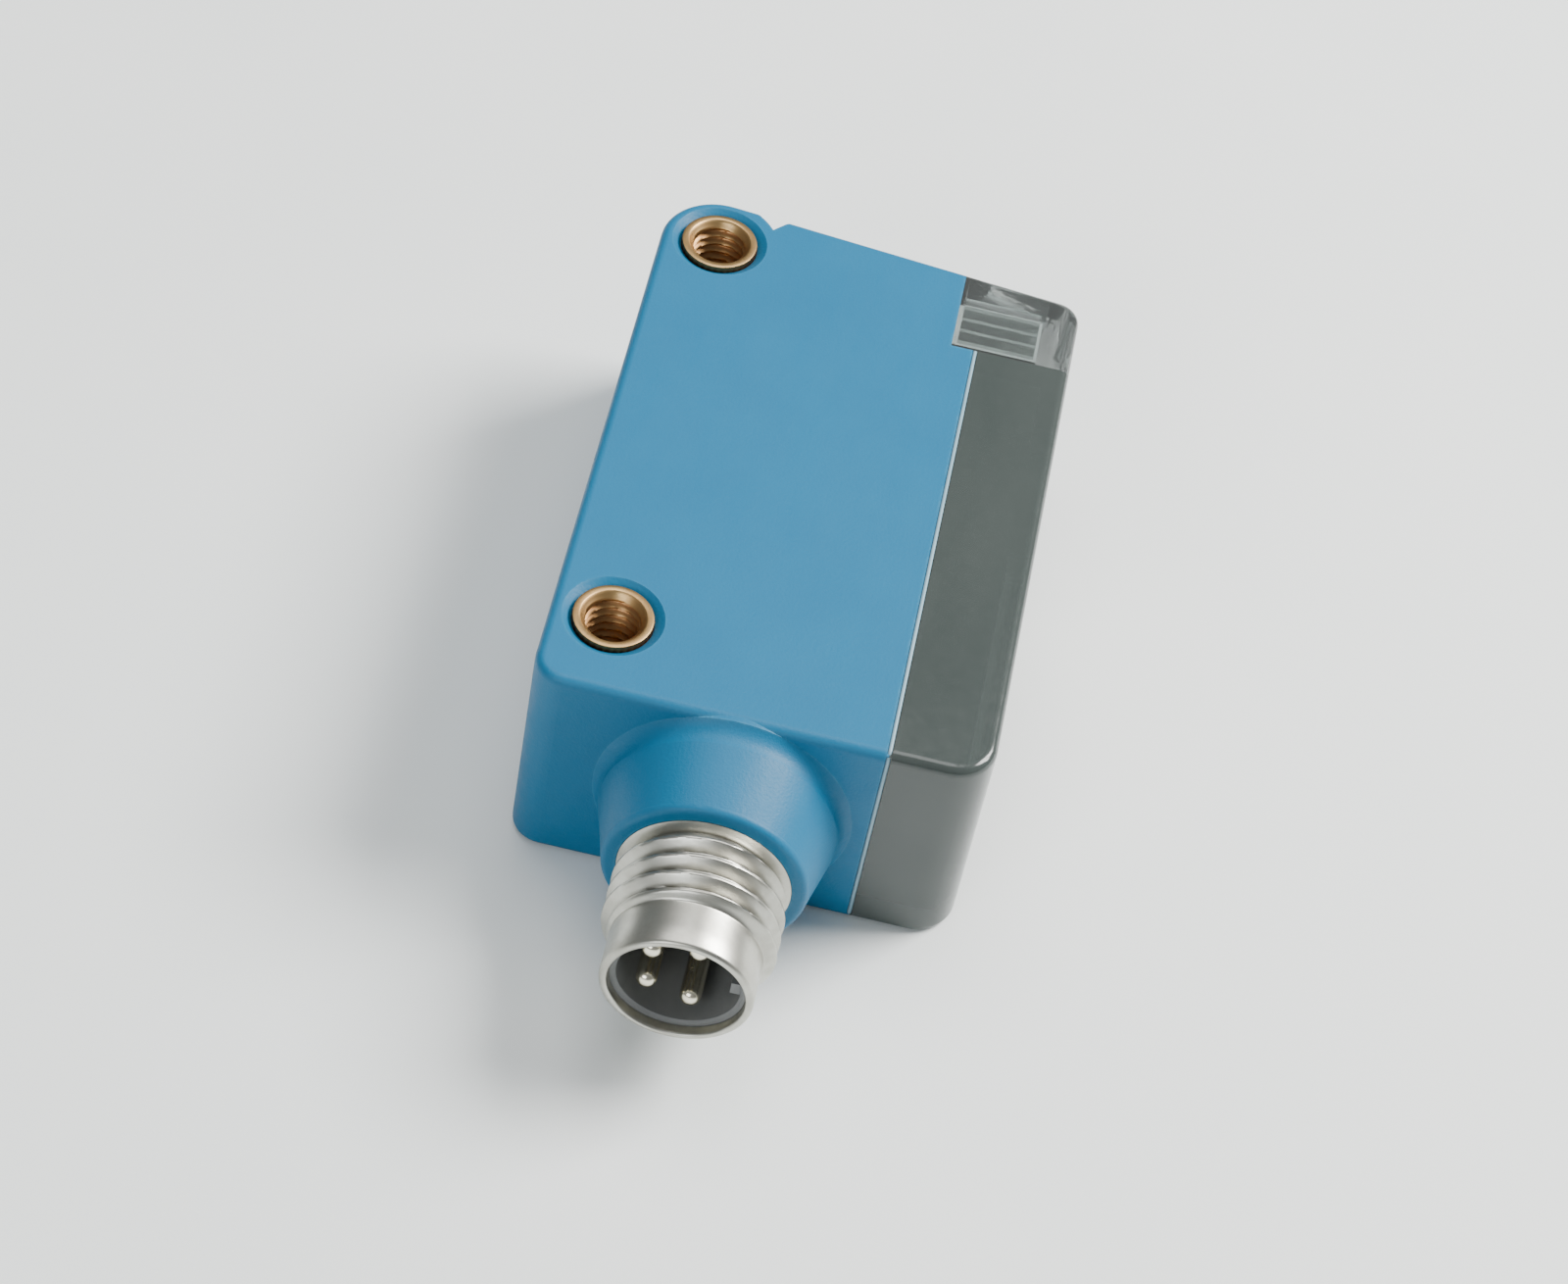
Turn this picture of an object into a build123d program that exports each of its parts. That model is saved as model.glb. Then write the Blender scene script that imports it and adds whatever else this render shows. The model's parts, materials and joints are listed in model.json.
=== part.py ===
from build123d import *
import os

os.makedirs("parts", exist_ok=True)

# All sizes in mm.  +X points to the sensing face, +Y from the plug to the top end and +Z through
# the thickness.  The origin is midway between the two screw inserts, on the lower side face.

# outside of the housing and the front cover
THICK = 12.0          # through Z
REAR_X = -2.9         # back face
SEAM_X = 13.4         # housing ends and cover starts
FRONT_X = 18.1        # sensing side
BOTTOM_Y = -17.1      # end that carries the plug
TOP_Y = 15.6          # top end at the rear
TOP_SLOPE = 0.09      # fall of the top end per mm towards the front
WALL = 1.2
EDGE_R = 0.45         # small round on every long outer edge
REAR_BOTTOM_R = 1.5
COVER_BOTTOM_R = 2.0
WINDOW_TOP_R = 1.2
SEAM_GROOVE = 0.12    # fine groove along the seam
MID_Z = THICK / 2
INNER_LOW_Z = WALL
INNER_HIGH_Z = THICK - WALL
INNER_BOTTOM_Y = BOTTOM_Y + WALL
INNER_TOP_Y = 13.2

# screw inserts, M3, one at each end of the rear side
HOLE_PITCH = 25.4
INSERT_R = 1.9
INSERT_BORE_R = 1.25
SINK_DEPTH = 0.35     # countersink in the housing around each insert
SINK_R = 2.35
LUG_R = 2.9           # round lug over the upper insert
CAVITY_REAR_X = 3.5   # front of the solid blocks that hold the inserts
CAVITY_HALF_Y = 9.0   # half length of the hollow between them

# M8 x 1 plug
PLUG_X = 6.6
BOSS_END_Y = -21.4
BOSS_BASE_R = 5.5
BOSS_END_R = 4.75
FLARE_R = 5.98        # radius where the boss runs into the end face
TIP_Y = -27.8
THREAD_R = 4.0
THREAD_ROOT_R = 3.45
THREAD_PITCH = 1.0
THREAD_START_Y = -22.1
THREAD_END_Y = -25.3
TIP_CHAMFER = 0.15    # on the outside of the mouth
CUP_R = 3.05
COLLAR_R = 4.35
COLLAR_Y = -15.1
CARRIER_FACE_Y = -22.6
SLEEVE_R = 2.78       # inside of the dark sleeve that lines the cup
SLEEVE_END_Y = -27.3
CARRIER_REAR_Y = -14.2
PIN_R = 0.5
PIN_TIP_Y = -26.95
PIN_TAIL_Y = -13.0
PIN_TAIL_R = 0.38
PIN_SPOTS = ((0.65, 1.68), (0.65, -1.68), (-1.41, 1.12), (-1.41, -1.12))
SEAL_Y = -18.5        # middle of the sealing ring on the plug shell
SEAL_HALF = 0.4
SEAL_INNER_R = 3.5

# indicator window in the top front corner
WINDOW_X = 12.2
WINDOW_Y = 9.2

# transducer, axis along X
SOUND_Y = 3.0
CAN_R = 4.1
CAN_INNER_R = 3.7
CAN_REAR_X = 10.2
CAN_FRONT_X = 17.9
SOFT_RING_R = 4.65
SOFT_RING_X = 13.0
LAYER_X = 16.7        # back of the matching layer
PIEZO_R = 3.2
PIEZO_X = 16.2
DAMPER_X = 11.0
SOUND_LOW_Y = SOUND_Y - 5.0     # space kept free around the can
SOUND_HIGH_Y = SOUND_Y + 5.0

# teach button, pressed along -Y
BUTTON_X = 7.6
BUTTON_R = 1.9
BUTTON_HOLE_R = 2.0
BUTTON_TOP_Y = 14.6
BUTTON_FLANGE_R = 2.5
BUTTON_FLANGE_Y = 12.5
BUTTON_GAP = 0.05
PLUNGER_R = 0.8
PLUNGER_LOW_Y = 10.4
SWITCH_TOP_Y = 11.2
SWITCH_LOW_Y = 8.8

# circuit board
BOARD_Z = 3.0
BOARD_THICK = 0.8
BOARD_TOP_Z = BOARD_Z + BOARD_THICK
BOARD_STEP_LOW_Y = -2.9     # the board is narrower between these two
BOARD_STEP_HIGH_Y = 8.7
WIRE_R = 0.36
THIN_WIRE_R = 0.22


def block(x0, x1, y0, y1, z0, z1):
    """Box from one corner to the opposite corner."""
    size = Box(x1 - x0, y1 - y0, z1 - z0)
    return Pos((x0 + x1) / 2, (y0 + y1) / 2, (z0 + z1) / 2) * size


def prism(points, z0, z1):
    """Upright prism over a closed outline in the XY plane."""
    face = make_face(Polyline(*points, close=True))
    return Pos(0, 0, z0) * extrude(face, z1 - z0)


def turned(points, x=PLUG_X):
    """Solid of revolution about the plug axis from (radius, y) corners."""
    face = make_face(Polyline(*points, close=True))
    return Pos(x, 0, MID_Z) * revolve(face, Axis.Y)


def ring_y(outer, inner, y0, y1, x):
    """Ring about a line along Y at mid thickness."""
    return turned(((inner, y0), (outer, y0), (outer, y1), (inner, y1)), x)


def drum_x(radius, x0, x1, y):
    """Cylinder along X at mid thickness."""
    return Pos((x0 + x1) / 2, y, MID_Z) * Rot(0, 90, 0) * Cylinder(radius, x1 - x0)


def drum_z(radius, x, y, z0, z1):
    """Cylinder along Z."""
    return Pos(x, y, (z0 + z1) / 2) * Cylinder(radius, z1 - z0)


def top_at(x):
    """Y of the sloping top end at a given x."""
    return TOP_Y - TOP_SLOPE * x


def outer_body():
    """Housing, cover and window together as one rounded block."""
    corners = ((REAR_X, BOTTOM_Y), (FRONT_X, BOTTOM_Y))
    corners += ((FRONT_X, top_at(FRONT_X)), (REAR_X, top_at(REAR_X)))
    body = prism(corners, 0, THICK)
    upright = body.edges().filter_by(Axis.Z)
    rear = upright.sort_by(Axis.X)[:2].sort_by(Axis.Y)
    front = upright.sort_by(Axis.X)[2:].sort_by(Axis.Y)
    body = fillet(rear[0], REAR_BOTTOM_R).solid()
    for spot, radius in ((rear[1], LUG_R), (front[0], COVER_BOTTOM_R), (front[1], WINDOW_TOP_R)):
        same = body.edges().filter_by(Axis.Z).sort_by_distance(spot.center())[0]
        body = fillet(same, radius).solid()
    rims = body.faces().sort_by(Axis.Z)[0].edges() + body.faces().sort_by(Axis.Z)[-1].edges()
    return fillet(rims, EDGE_R).solid()


def boss():
    """Tapering boss around the plug, flared into the end face."""
    base_y = BOTTOM_Y + 0.6
    flare = ThreePointArc((FLARE_R, BOTTOM_Y), (5.64, -17.48), (BOSS_BASE_R, -18.1))
    lip = ThreePointArc((BOSS_END_R, -21.05), (4.65, -21.3), (4.4, BOSS_END_Y))
    outline = flare + Line((BOSS_BASE_R, -18.1), (BOSS_END_R, -21.05)) + lip
    outline += Polyline((4.4, BOSS_END_Y), (0, BOSS_END_Y), (0, base_y), (FLARE_R, base_y),
                        (FLARE_R, BOTTOM_Y))
    solid = Pos(PLUG_X, 0, MID_Z) * revolve(make_face(outline), Axis.Y)
    return solid & block(REAR_X, SEAM_X, BOSS_END_Y - 1, 0, 0, THICK)


def seam_groove(body):
    """Fine groove where the housing meets the cover."""
    band = block(SEAM_X - SEAM_GROOVE, SEAM_X + SEAM_GROOVE, BOTTOM_Y - 1, WINDOW_Y, -1, THICK + 1)
    core = block(REAR_X, FRONT_X, BOTTOM_Y + SEAM_GROOVE, TOP_Y, SEAM_GROOVE, THICK - SEAM_GROOVE)
    return body - (band - core)


def window_zone(grow=0.0):
    """Space that the indicator window takes at the top front corner."""
    return block(WINDOW_X - grow, FRONT_X + 1, WINDOW_Y - grow, TOP_Y + 1, -1, THICK + 1)


def lug_notch():
    """Small notch between the round lug and the straight top end."""
    wedge = prism(((0.7, 16.2), (3.2, 16.2), (3.2, 15.25), (2.35, 14.3)), -1, THICK + 1)
    return wedge - drum_z(LUG_R, 0, HOLE_PITCH / 2, -2, THICK + 2)


def insert_hole(y):
    """Hole for a screw insert, countersunk on both side faces."""
    hole = drum_z(INSERT_R, 0, y, -1, THICK + 1)
    low = Pos(0, y, SINK_DEPTH / 2) * Cone(SINK_R, INSERT_R, SINK_DEPTH)
    high = Pos(0, y, THICK - SINK_DEPTH / 2) * Cone(INSERT_R, SINK_R, SINK_DEPTH)
    return hole + low + high


def gasket_zone():
    """Rebate around the open side of the housing."""
    return block(SEAM_X - 0.6, SEAM_X, INNER_BOTTOM_Y - 0.5, WINDOW_Y,
                 INNER_LOW_Z - 0.5, INNER_HIGH_Z + 0.5)


def housing():
    """Main shell, open at the front, with the plug boss and two solid insert blocks."""
    shell = outer_body() & block(REAR_X, SEAM_X, BOTTOM_Y, TOP_Y, 0, THICK)
    shell = seam_groove(shell) + boss() - window_zone()
    shell -= block(CAVITY_REAR_X, SEAM_X, INNER_BOTTOM_Y, INNER_TOP_Y, INNER_LOW_Z, INNER_HIGH_Z)
    shell -= block(REAR_X + WALL, CAVITY_REAR_X, -CAVITY_HALF_Y, CAVITY_HALF_Y,
                   INNER_LOW_Z, INNER_HIGH_Z)
    shell -= gasket_zone()
    shell -= lug_notch()
    shell -= insert_hole(HOLE_PITCH / 2)
    shell -= insert_hole(-HOLE_PITCH / 2)
    shell -= turned(((0, BOSS_END_Y - 1), (THREAD_R, BOSS_END_Y - 1), (THREAD_R, INNER_BOTTOM_Y),
                     (COLLAR_R, INNER_BOTTOM_Y), (COLLAR_R, CARRIER_REAR_Y + 0.3),
                     (0, CARRIER_REAR_Y + 0.3)))
    shell -= turned(((0, INNER_TOP_Y - 1), (BUTTON_HOLE_R, INNER_TOP_Y - 1),
                     (BUTTON_HOLE_R, TOP_Y + 1), (0, TOP_Y + 1)), BUTTON_X)
    shell -= ring_y(2.6, BUTTON_HOLE_R - 0.1, 13.6, 14.1, BUTTON_X)
    return shell


def front_cover():
    """Smoked cover over the sensing side with a round opening for the transducer."""
    cover = outer_body() & block(SEAM_X, FRONT_X, BOTTOM_Y, TOP_Y, 0, THICK)
    cover = seam_groove(cover) - window_zone()
    cover -= block(SEAM_X, FRONT_X - WALL, INNER_BOTTOM_Y, WINDOW_Y - 0.8,
                   INNER_LOW_Z, INNER_HIGH_Z)
    cover -= drum_x(SOFT_RING_R, SEAM_X, FRONT_X + 1, SOUND_Y)
    return cover


def indicator_window():
    """Clear corner piece that shows the indicator lamps."""
    piece = outer_body() & window_zone()
    piece -= block(WINDOW_X, 16.4, WINDOW_Y + 1.0, INNER_TOP_Y - 0.2, 1.6, THICK - 1.6)
    return piece


def front_gasket():
    """Seal frame between housing and cover."""
    hole = block(SEAM_X - 0.6, SEAM_X, INNER_BOTTOM_Y, WINDOW_Y - 0.5, INNER_LOW_Z, INNER_HIGH_Z)
    return gasket_zone() - hole


def screw_insert(y):
    """Brass M3 insert with a waist, open at both ends and flush with both side faces."""
    body = drum_z(INSERT_R, 0, y, 0, THICK)
    waist = drum_z(INSERT_R, 0, y, MID_Z - 1, MID_Z + 1) - drum_z(1.65, 0, y, MID_Z - 1, MID_Z + 1)
    return body - waist - drum_z(INSERT_BORE_R, 0, y, 0, THICK)


def thread_ridge():
    """Helical M8 x 1 ridge, trimmed square at both ends."""
    length = THREAD_START_Y - THREAD_END_Y
    helix = Helix(THREAD_PITCH, length + 2 * THREAD_PITCH, THREAD_ROOT_R)
    start = Plane(origin=helix @ 0, x_dir=(1, 0, 0), z_dir=helix % 0)
    depth = THREAD_R - THREAD_ROOT_R
    profile = Polyline((-0.1, -0.44), (0, -0.4), (depth, -0.09), (depth, 0.09), (0, 0.4),
                       (-0.1, 0.44), close=True)
    ridge = sweep(start * make_face(profile), path=helix, is_frenet=True)
    ridge = Pos(PLUG_X, THREAD_START_Y + THREAD_PITCH, MID_Z) * Rot(90, 0, 0) * ridge
    return ridge & ring_y(THREAD_R + 1, THREAD_ROOT_R - 0.2, THREAD_END_Y, THREAD_START_Y, PLUG_X)


def connector_shell():
    """Free end of the metal M8 plug shell: thread root and a plain tip as wide as the root."""
    return turned(((CUP_R, TIP_Y), (THREAD_ROOT_R - TIP_CHAMFER, TIP_Y),
                   (THREAD_ROOT_R, TIP_Y + TIP_CHAMFER),
                   (THREAD_ROOT_R, BOSS_END_Y - 0.3), (THREAD_R - 0.1, BOSS_END_Y - 0.1),
                   (THREAD_R, BOSS_END_Y), (CUP_R, BOSS_END_Y)))


def shell_thread():
    """Helical thread on the free end of the shell."""
    return thread_ridge() - ring_y(THREAD_ROOT_R, 1.0, THREAD_END_Y - 1, THREAD_START_Y + 1, PLUG_X)


def shell_collar():
    """Rear of the plug shell inside the boss, with its collar and the seat of the ring."""
    collar = turned(((CUP_R, BOSS_END_Y), (THREAD_R, BOSS_END_Y), (THREAD_R, INNER_BOTTOM_Y),
                     (COLLAR_R, INNER_BOTTOM_Y), (COLLAR_R, COLLAR_Y), (CUP_R, COLLAR_Y)))
    return collar - ring_y(THREAD_R, SEAL_INNER_R, SEAL_Y - SEAL_HALF, SEAL_Y + SEAL_HALF, PLUG_X)


def connector_seal():
    """Soft ring between plug shell and boss."""
    low = SEAL_Y - SEAL_HALF
    high = SEAL_Y + SEAL_HALF
    cut = 0.15
    return turned(((SEAL_INNER_R, low), (THREAD_R - cut, low), (THREAD_R, low + cut),
                   (THREAD_R, high - cut), (THREAD_R - cut, high), (SEAL_INNER_R, high)))


def contact_carrier():
    """Insulator that holds the four pins."""
    carrier = turned(((0, CARRIER_FACE_Y), (CUP_R, CARRIER_FACE_Y), (CUP_R, COLLAR_Y),
                      (COLLAR_R, COLLAR_Y),
                      (COLLAR_R, CARRIER_REAR_Y), (0, CARRIER_REAR_Y)))
    for dx, dz in PIN_SPOTS:
        carrier -= turned(((0, CARRIER_FACE_Y - 1), (PIN_R, CARRIER_FACE_Y - 1),
                           (PIN_R, CARRIER_REAR_Y + 1), (0, CARRIER_REAR_Y + 1)),
                          0).moved(Location((PLUG_X + dx, 0, dz)))
    return carrier


def carrier_sleeve():
    """Insulating sleeve that lines the cup in front of the carrier."""
    lip = 0.12
    return turned(((SLEEVE_R, CARRIER_FACE_Y), (SLEEVE_R, SLEEVE_END_Y + lip),
                   (SLEEVE_R + lip, SLEEVE_END_Y), (CUP_R, SLEEVE_END_Y),
                   (CUP_R, CARRIER_FACE_Y)))


def keying_rib():
    """Small rib inside the sleeve that sets which way round the socket goes on."""
    rib = block(PLUG_X + 2.3, PLUG_X + SLEEVE_R, SLEEVE_END_Y + 0.4, CARRIER_FACE_Y,
                MID_Z - 0.35, MID_Z + 0.35)
    return rib & ring_y(SLEEVE_R, 0.5, TIP_Y, CARRIER_FACE_Y, PLUG_X)


def contact_pin(dx, dz):
    """Round contact pin with a domed tip and a thin solder tail."""
    pin = turned(((0, PIN_TIP_Y), (0.22, PIN_TIP_Y + 0.04), (0.4, PIN_TIP_Y + 0.17),
                  (PIN_R, PIN_TIP_Y + 0.42), (PIN_R, CARRIER_REAR_Y),
                  (PIN_TAIL_R, CARRIER_REAR_Y), (PIN_TAIL_R, PIN_TAIL_Y), (0, PIN_TAIL_Y)), 0)
    return pin.moved(Location((PLUG_X + dx, 0, dz)))


def transducer_can():
    """Aluminium can around the sounding parts."""
    can = drum_x(CAN_R, CAN_REAR_X, CAN_FRONT_X, SOUND_Y)
    return can - drum_x(CAN_INNER_R, CAN_REAR_X, CAN_FRONT_X, SOUND_Y)


def matching_layer():
    """Sensing face."""
    layer = drum_x(CAN_INNER_R, LAYER_X, CAN_FRONT_X, SOUND_Y)
    rim = layer.edges().sort_by(Axis.X)[-1]
    return chamfer(rim, 0.15)


def decoupling_ring():
    """Soft ring that holds the can in the cover."""
    ring = drum_x(SOFT_RING_R, SOFT_RING_X, FRONT_X - 0.35, SOUND_Y)
    return ring - drum_x(CAN_R, SOFT_RING_X, FRONT_X, SOUND_Y)


def inner_frame():
    """Plastic rails under the board with a plate behind the transducer."""
    low = INNER_LOW_Z + 0.1
    outer = block(3.7, 12.0, -12.6, 12.9, low, BOARD_Z)
    outer += block(-1.5, 3.7, -8.8, 8.8, low, BOARD_Z)
    inner = block(4.6, 11.1, -11.7, 12.0, low, BOARD_Z)
    inner += block(-0.6, 4.6, -7.9, 7.9, low, BOARD_Z)
    frame = outer - inner
    frame -= block(CAN_REAR_X, FRONT_X, SOUND_LOW_Y, SOUND_HIGH_Y, 0, THICK)
    frame += block(8.6, 11.1, BOARD_STEP_LOW_Y, SOUND_LOW_Y, low, BOARD_Z)
    frame += block(8.6, 11.1, SOUND_HIGH_Y, BOARD_STEP_HIGH_Y, low, BOARD_Z)
    plate = block(9.4, CAN_REAR_X, BOARD_STEP_LOW_Y, BOARD_STEP_HIGH_Y, low, 10.6)
    return frame + plate - drum_x(2.0, 9.0, CAN_REAR_X + 1, SOUND_Y)


def main_board():
    """Circuit board, stepped back behind the transducer and beside the insert blocks."""
    outline = ((3.9, -12.4), (11.9, -12.4), (11.9, BOARD_STEP_LOW_Y), (9.2, BOARD_STEP_LOW_Y),
               (9.2, BOARD_STEP_HIGH_Y), (11.9, BOARD_STEP_HIGH_Y), (11.9, 12.0), (3.9, 12.0),
               (3.9, 8.7), (-1.4, 8.7), (-1.4, -8.7), (3.9, -8.7))
    return prism(outline, BOARD_Z, BOARD_TOP_Z)


def chip(x, y, width, length, height, legs):
    """Flat chip with rows of legs along both long sides."""
    low = BOARD_TOP_Z + 0.1
    body = block(x - width / 2, x + width / 2, y - length / 2, y + length / 2, low, low + height)
    step = length / legs
    for number in range(legs):
        middle = y - length / 2 + step * (number + 0.5)
        leg = block(x - width / 2 - 0.45, x + width / 2 + 0.45, middle - 0.14, middle + 0.14,
                    BOARD_TOP_Z, low + 0.2)
        body += leg
    return body


def flat_part(x, y, dx, dy, height):
    """Small block soldered to the board."""
    piece = block(x - dx / 2, x + dx / 2, y - dy / 2, y + dy / 2, BOARD_TOP_Z,
                  BOARD_TOP_Z + height)
    return fillet(piece.edges().filter_by(Axis.Z), 0.12)


def transformer_core():
    """Ferrite drum with two square flanges."""
    core = block(0.0, 4.6, 2.9, 7.5, BOARD_TOP_Z, BOARD_TOP_Z + 0.8)
    core += block(0.0, 4.6, 2.9, 7.5, BOARD_TOP_Z + 3.4, BOARD_TOP_Z + 4.2)
    return core + drum_z(1.1, 2.3, 5.2, BOARD_TOP_Z, BOARD_TOP_Z + 4.2)


def transformer_coil():
    """Copper winding on the core."""
    low = BOARD_TOP_Z + 0.8
    coil = drum_z(2.05, 2.3, 5.2, low, low + 2.6)
    return coil - drum_z(1.1, 2.3, 5.2, low, low + 2.6)


def can_capacitor():
    """Upright capacitor can on a square foot."""
    can = drum_z(1.9, 1.1, -6.2, BOARD_TOP_Z + 0.5, BOARD_TOP_Z + 5.0)
    can = fillet(can.edges().sort_by(Axis.Z)[-1], 0.3)
    return can + block(-0.9, 3.1, -8.2, -4.2, BOARD_TOP_Z, BOARD_TOP_Z + 0.5)


def lamp(y):
    """Indicator lamp with a domed front, facing the window."""
    base = block(10.4, 11.3, y - 0.5, y + 0.5, BOARD_TOP_Z, BOARD_TOP_Z + 1.2)
    dome = Pos(11.3, y, BOARD_TOP_Z + 0.6) * Sphere(0.5)
    return base + dome


def switch_body():
    """Key switch lying on the board, open towards the button."""
    body = block(BUTTON_X - 1.8, BUTTON_X + 1.8, SWITCH_LOW_Y, SWITCH_TOP_Y, BOARD_TOP_Z, 8.2)
    bore = turned(((0, PLUNGER_LOW_Y - 0.8), (PLUNGER_R + BUTTON_GAP, PLUNGER_LOW_Y - 0.8),
                   (PLUNGER_R + BUTTON_GAP, SWITCH_TOP_Y), (0, SWITCH_TOP_Y)), BUTTON_X)
    return body - bore


def switch_plunger():
    """Plunger that the button pushes into the switch."""
    return turned(((0, PLUNGER_LOW_Y), (PLUNGER_R, PLUNGER_LOW_Y), (PLUNGER_R, BUTTON_FLANGE_Y),
                   (0, BUTTON_FLANGE_Y)), BUTTON_X)


def teach_button():
    """Round button with a flange that keeps it in the housing."""
    flange_top = INNER_TOP_Y - BUTTON_GAP
    return turned(((0, BUTTON_FLANGE_Y), (BUTTON_FLANGE_R, BUTTON_FLANGE_Y),
                   (BUTTON_FLANGE_R, flange_top), (BUTTON_R, flange_top),
                   (BUTTON_R, BUTTON_TOP_Y - 0.2), (BUTTON_R - 0.2, BUTTON_TOP_Y - 0.05),
                   (1.1, BUTTON_TOP_Y), (0.9, BUTTON_TOP_Y - 0.12), (0, BUTTON_TOP_Y - 0.15)),
                  BUTTON_X)


def button_seal():
    """Soft ring in the housing around the button."""
    return ring_y(2.6, BUTTON_R + BUTTON_GAP, 13.6, 14.1, BUTTON_X)


def wire(points, first, last, radius):
    """Round wire along a smooth line through the points, with set end directions."""
    path = Spline(*points, tangents=(first, last))
    start = Plane(origin=path @ 0, z_dir=path % 0)
    return sweep(start * Circle(radius), path=path)


def lead_wire(dx, dz, land_x):
    """Insulated wire from a pin tail to the board."""
    x = PLUG_X + dx
    z = MID_Z + dz
    return wire(((x, PIN_TAIL_Y, z), (land_x, -10.1, BOARD_TOP_Z)), (0, 1, 0), (0, 0, -1),
                WIRE_R)


def sound_wire(y):
    """Thin wire from the back of the transducer to the board."""
    return wire(((DAMPER_X, y, MID_Z), (8.5, y, BOARD_TOP_Z)), (-1, 0, 0), (0, 0, -1),
                THIN_WIRE_R)


nodes = {
    "housing": housing(),
    "front_cover": front_cover(),
    "indicator_window": indicator_window(),
    "front_gasket": front_gasket(),
    "upper_insert": screw_insert(HOLE_PITCH / 2),
    "lower_insert": screw_insert(-HOLE_PITCH / 2),
    "connector_shell": connector_shell(),
    "shell_thread": shell_thread(),
    "shell_collar": shell_collar(),
    "connector_seal": connector_seal(),
    "contact_carrier": contact_carrier(),
    "carrier_sleeve": carrier_sleeve(),
    "keying_rib": keying_rib(),
    "transducer_can": transducer_can(),
    "matching_layer": matching_layer(),
    "piezo_disc": drum_x(PIEZO_R, PIEZO_X, LAYER_X, SOUND_Y),
    "damping_plug": drum_x(CAN_INNER_R, DAMPER_X, PIEZO_X, SOUND_Y),
    "decoupling_ring": decoupling_ring(),
    "inner_frame": inner_frame(),
    "main_board": main_board(),
    "microcontroller": chip(3.2, -1.4, 3.9, 4.6, 0.9, 8),
    "driver_chip": chip(10.1, -6.6, 1.9, 3.2, 0.8, 4),
    "regulator_chip": chip(6.4, -5.6, 1.7, 2.6, 0.9, 3),
    "transformer_core": transformer_core(),
    "transformer_coil": transformer_coil(),
    "capacitor_can": can_capacitor(),
    "capacitor_1": flat_part(7.2, -1.2, 1.3, 2.0, 1.0),
    "capacitor_2": flat_part(6.6, 6.4, 1.3, 2.0, 1.0),
    "capacitor_3": flat_part(6.6, 1.8, 1.3, 2.0, 1.0),
    "resistor_1": flat_part(10.6, -10.6, 0.8, 1.6, 0.45),
    "resistor_2": flat_part(9.4, -10.6, 0.8, 1.6, 0.45),
    "resistor_3": flat_part(4.7, 10.6, 0.8, 1.6, 0.45),
    "power_lamp": lamp(10.2),
    "output_lamp": lamp(11.5),
    "switch_body": switch_body(),
    "switch_plunger": switch_plunger(),
    "teach_button": teach_button(),
    "button_seal": button_seal(),
    "sound_wire_1": sound_wire(SOUND_Y - 0.7),
    "sound_wire_2": sound_wire(SOUND_Y + 0.7),
}
LANDINGS = (8.3, 6.9, 5.5, 4.6)
for number, (dx, dz) in enumerate(PIN_SPOTS):
    nodes[f"contact_pin_{number + 1}"] = contact_pin(dx, dz)
for number, (spot, land_x) in enumerate(zip(PIN_SPOTS, LANDINGS)):
    nodes[f"lead_wire_{number + 1}"] = lead_wire(spot[0], spot[1], land_x)

for name, shape in nodes.items():
    export_step(shape, f"parts/{name}.step")
    print(name, round(shape.volume, 3), len(shape.solids()))
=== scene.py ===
import json
import math

import bpy
import bmesh
from mathutils import Matrix, Vector


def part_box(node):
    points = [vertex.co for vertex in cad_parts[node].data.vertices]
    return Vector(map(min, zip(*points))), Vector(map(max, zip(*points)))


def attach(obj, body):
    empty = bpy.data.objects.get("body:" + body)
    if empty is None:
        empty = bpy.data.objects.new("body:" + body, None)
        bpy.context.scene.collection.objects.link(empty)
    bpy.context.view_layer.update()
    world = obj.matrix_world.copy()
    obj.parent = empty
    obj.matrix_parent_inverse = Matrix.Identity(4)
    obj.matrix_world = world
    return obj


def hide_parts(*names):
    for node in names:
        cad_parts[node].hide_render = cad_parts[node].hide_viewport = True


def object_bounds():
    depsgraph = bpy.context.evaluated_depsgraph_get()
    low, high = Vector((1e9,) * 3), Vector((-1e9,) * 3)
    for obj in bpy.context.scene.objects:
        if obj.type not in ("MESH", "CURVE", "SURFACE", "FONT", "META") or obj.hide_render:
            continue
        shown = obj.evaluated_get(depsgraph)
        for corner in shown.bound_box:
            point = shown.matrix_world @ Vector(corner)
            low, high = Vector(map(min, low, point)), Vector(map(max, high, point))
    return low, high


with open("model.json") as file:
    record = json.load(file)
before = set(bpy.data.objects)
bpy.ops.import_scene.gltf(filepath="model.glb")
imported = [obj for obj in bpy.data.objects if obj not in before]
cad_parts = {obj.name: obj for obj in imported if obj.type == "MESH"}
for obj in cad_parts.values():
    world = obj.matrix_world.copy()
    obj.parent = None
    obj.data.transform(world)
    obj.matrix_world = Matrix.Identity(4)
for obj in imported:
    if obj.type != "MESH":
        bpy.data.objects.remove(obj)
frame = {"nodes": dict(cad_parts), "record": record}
cad_lo, cad_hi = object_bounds()
MM = 0.001
TURN = 2.0 * math.pi
AXIS_R = 0.001  # mm, the radius at which a turned piece is closed on its axis
AO_SAMPLES, BEVEL_SAMPLES = 8, 6
# The first is how far the painted shade reaches into plastic recesses, the second how wide the worn
# edges are.
PLASTIC_SHADE_REACH, PLASTIC_EDGE = 0.0007, 0.00025  # metres
NODES = frame["nodes"]


def mid(node):
    """Centre of a CAD node's box, in metres."""
    lo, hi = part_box(node)
    return (lo + hi) / 2


# ---------------------------------------------------------------- materials

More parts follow.
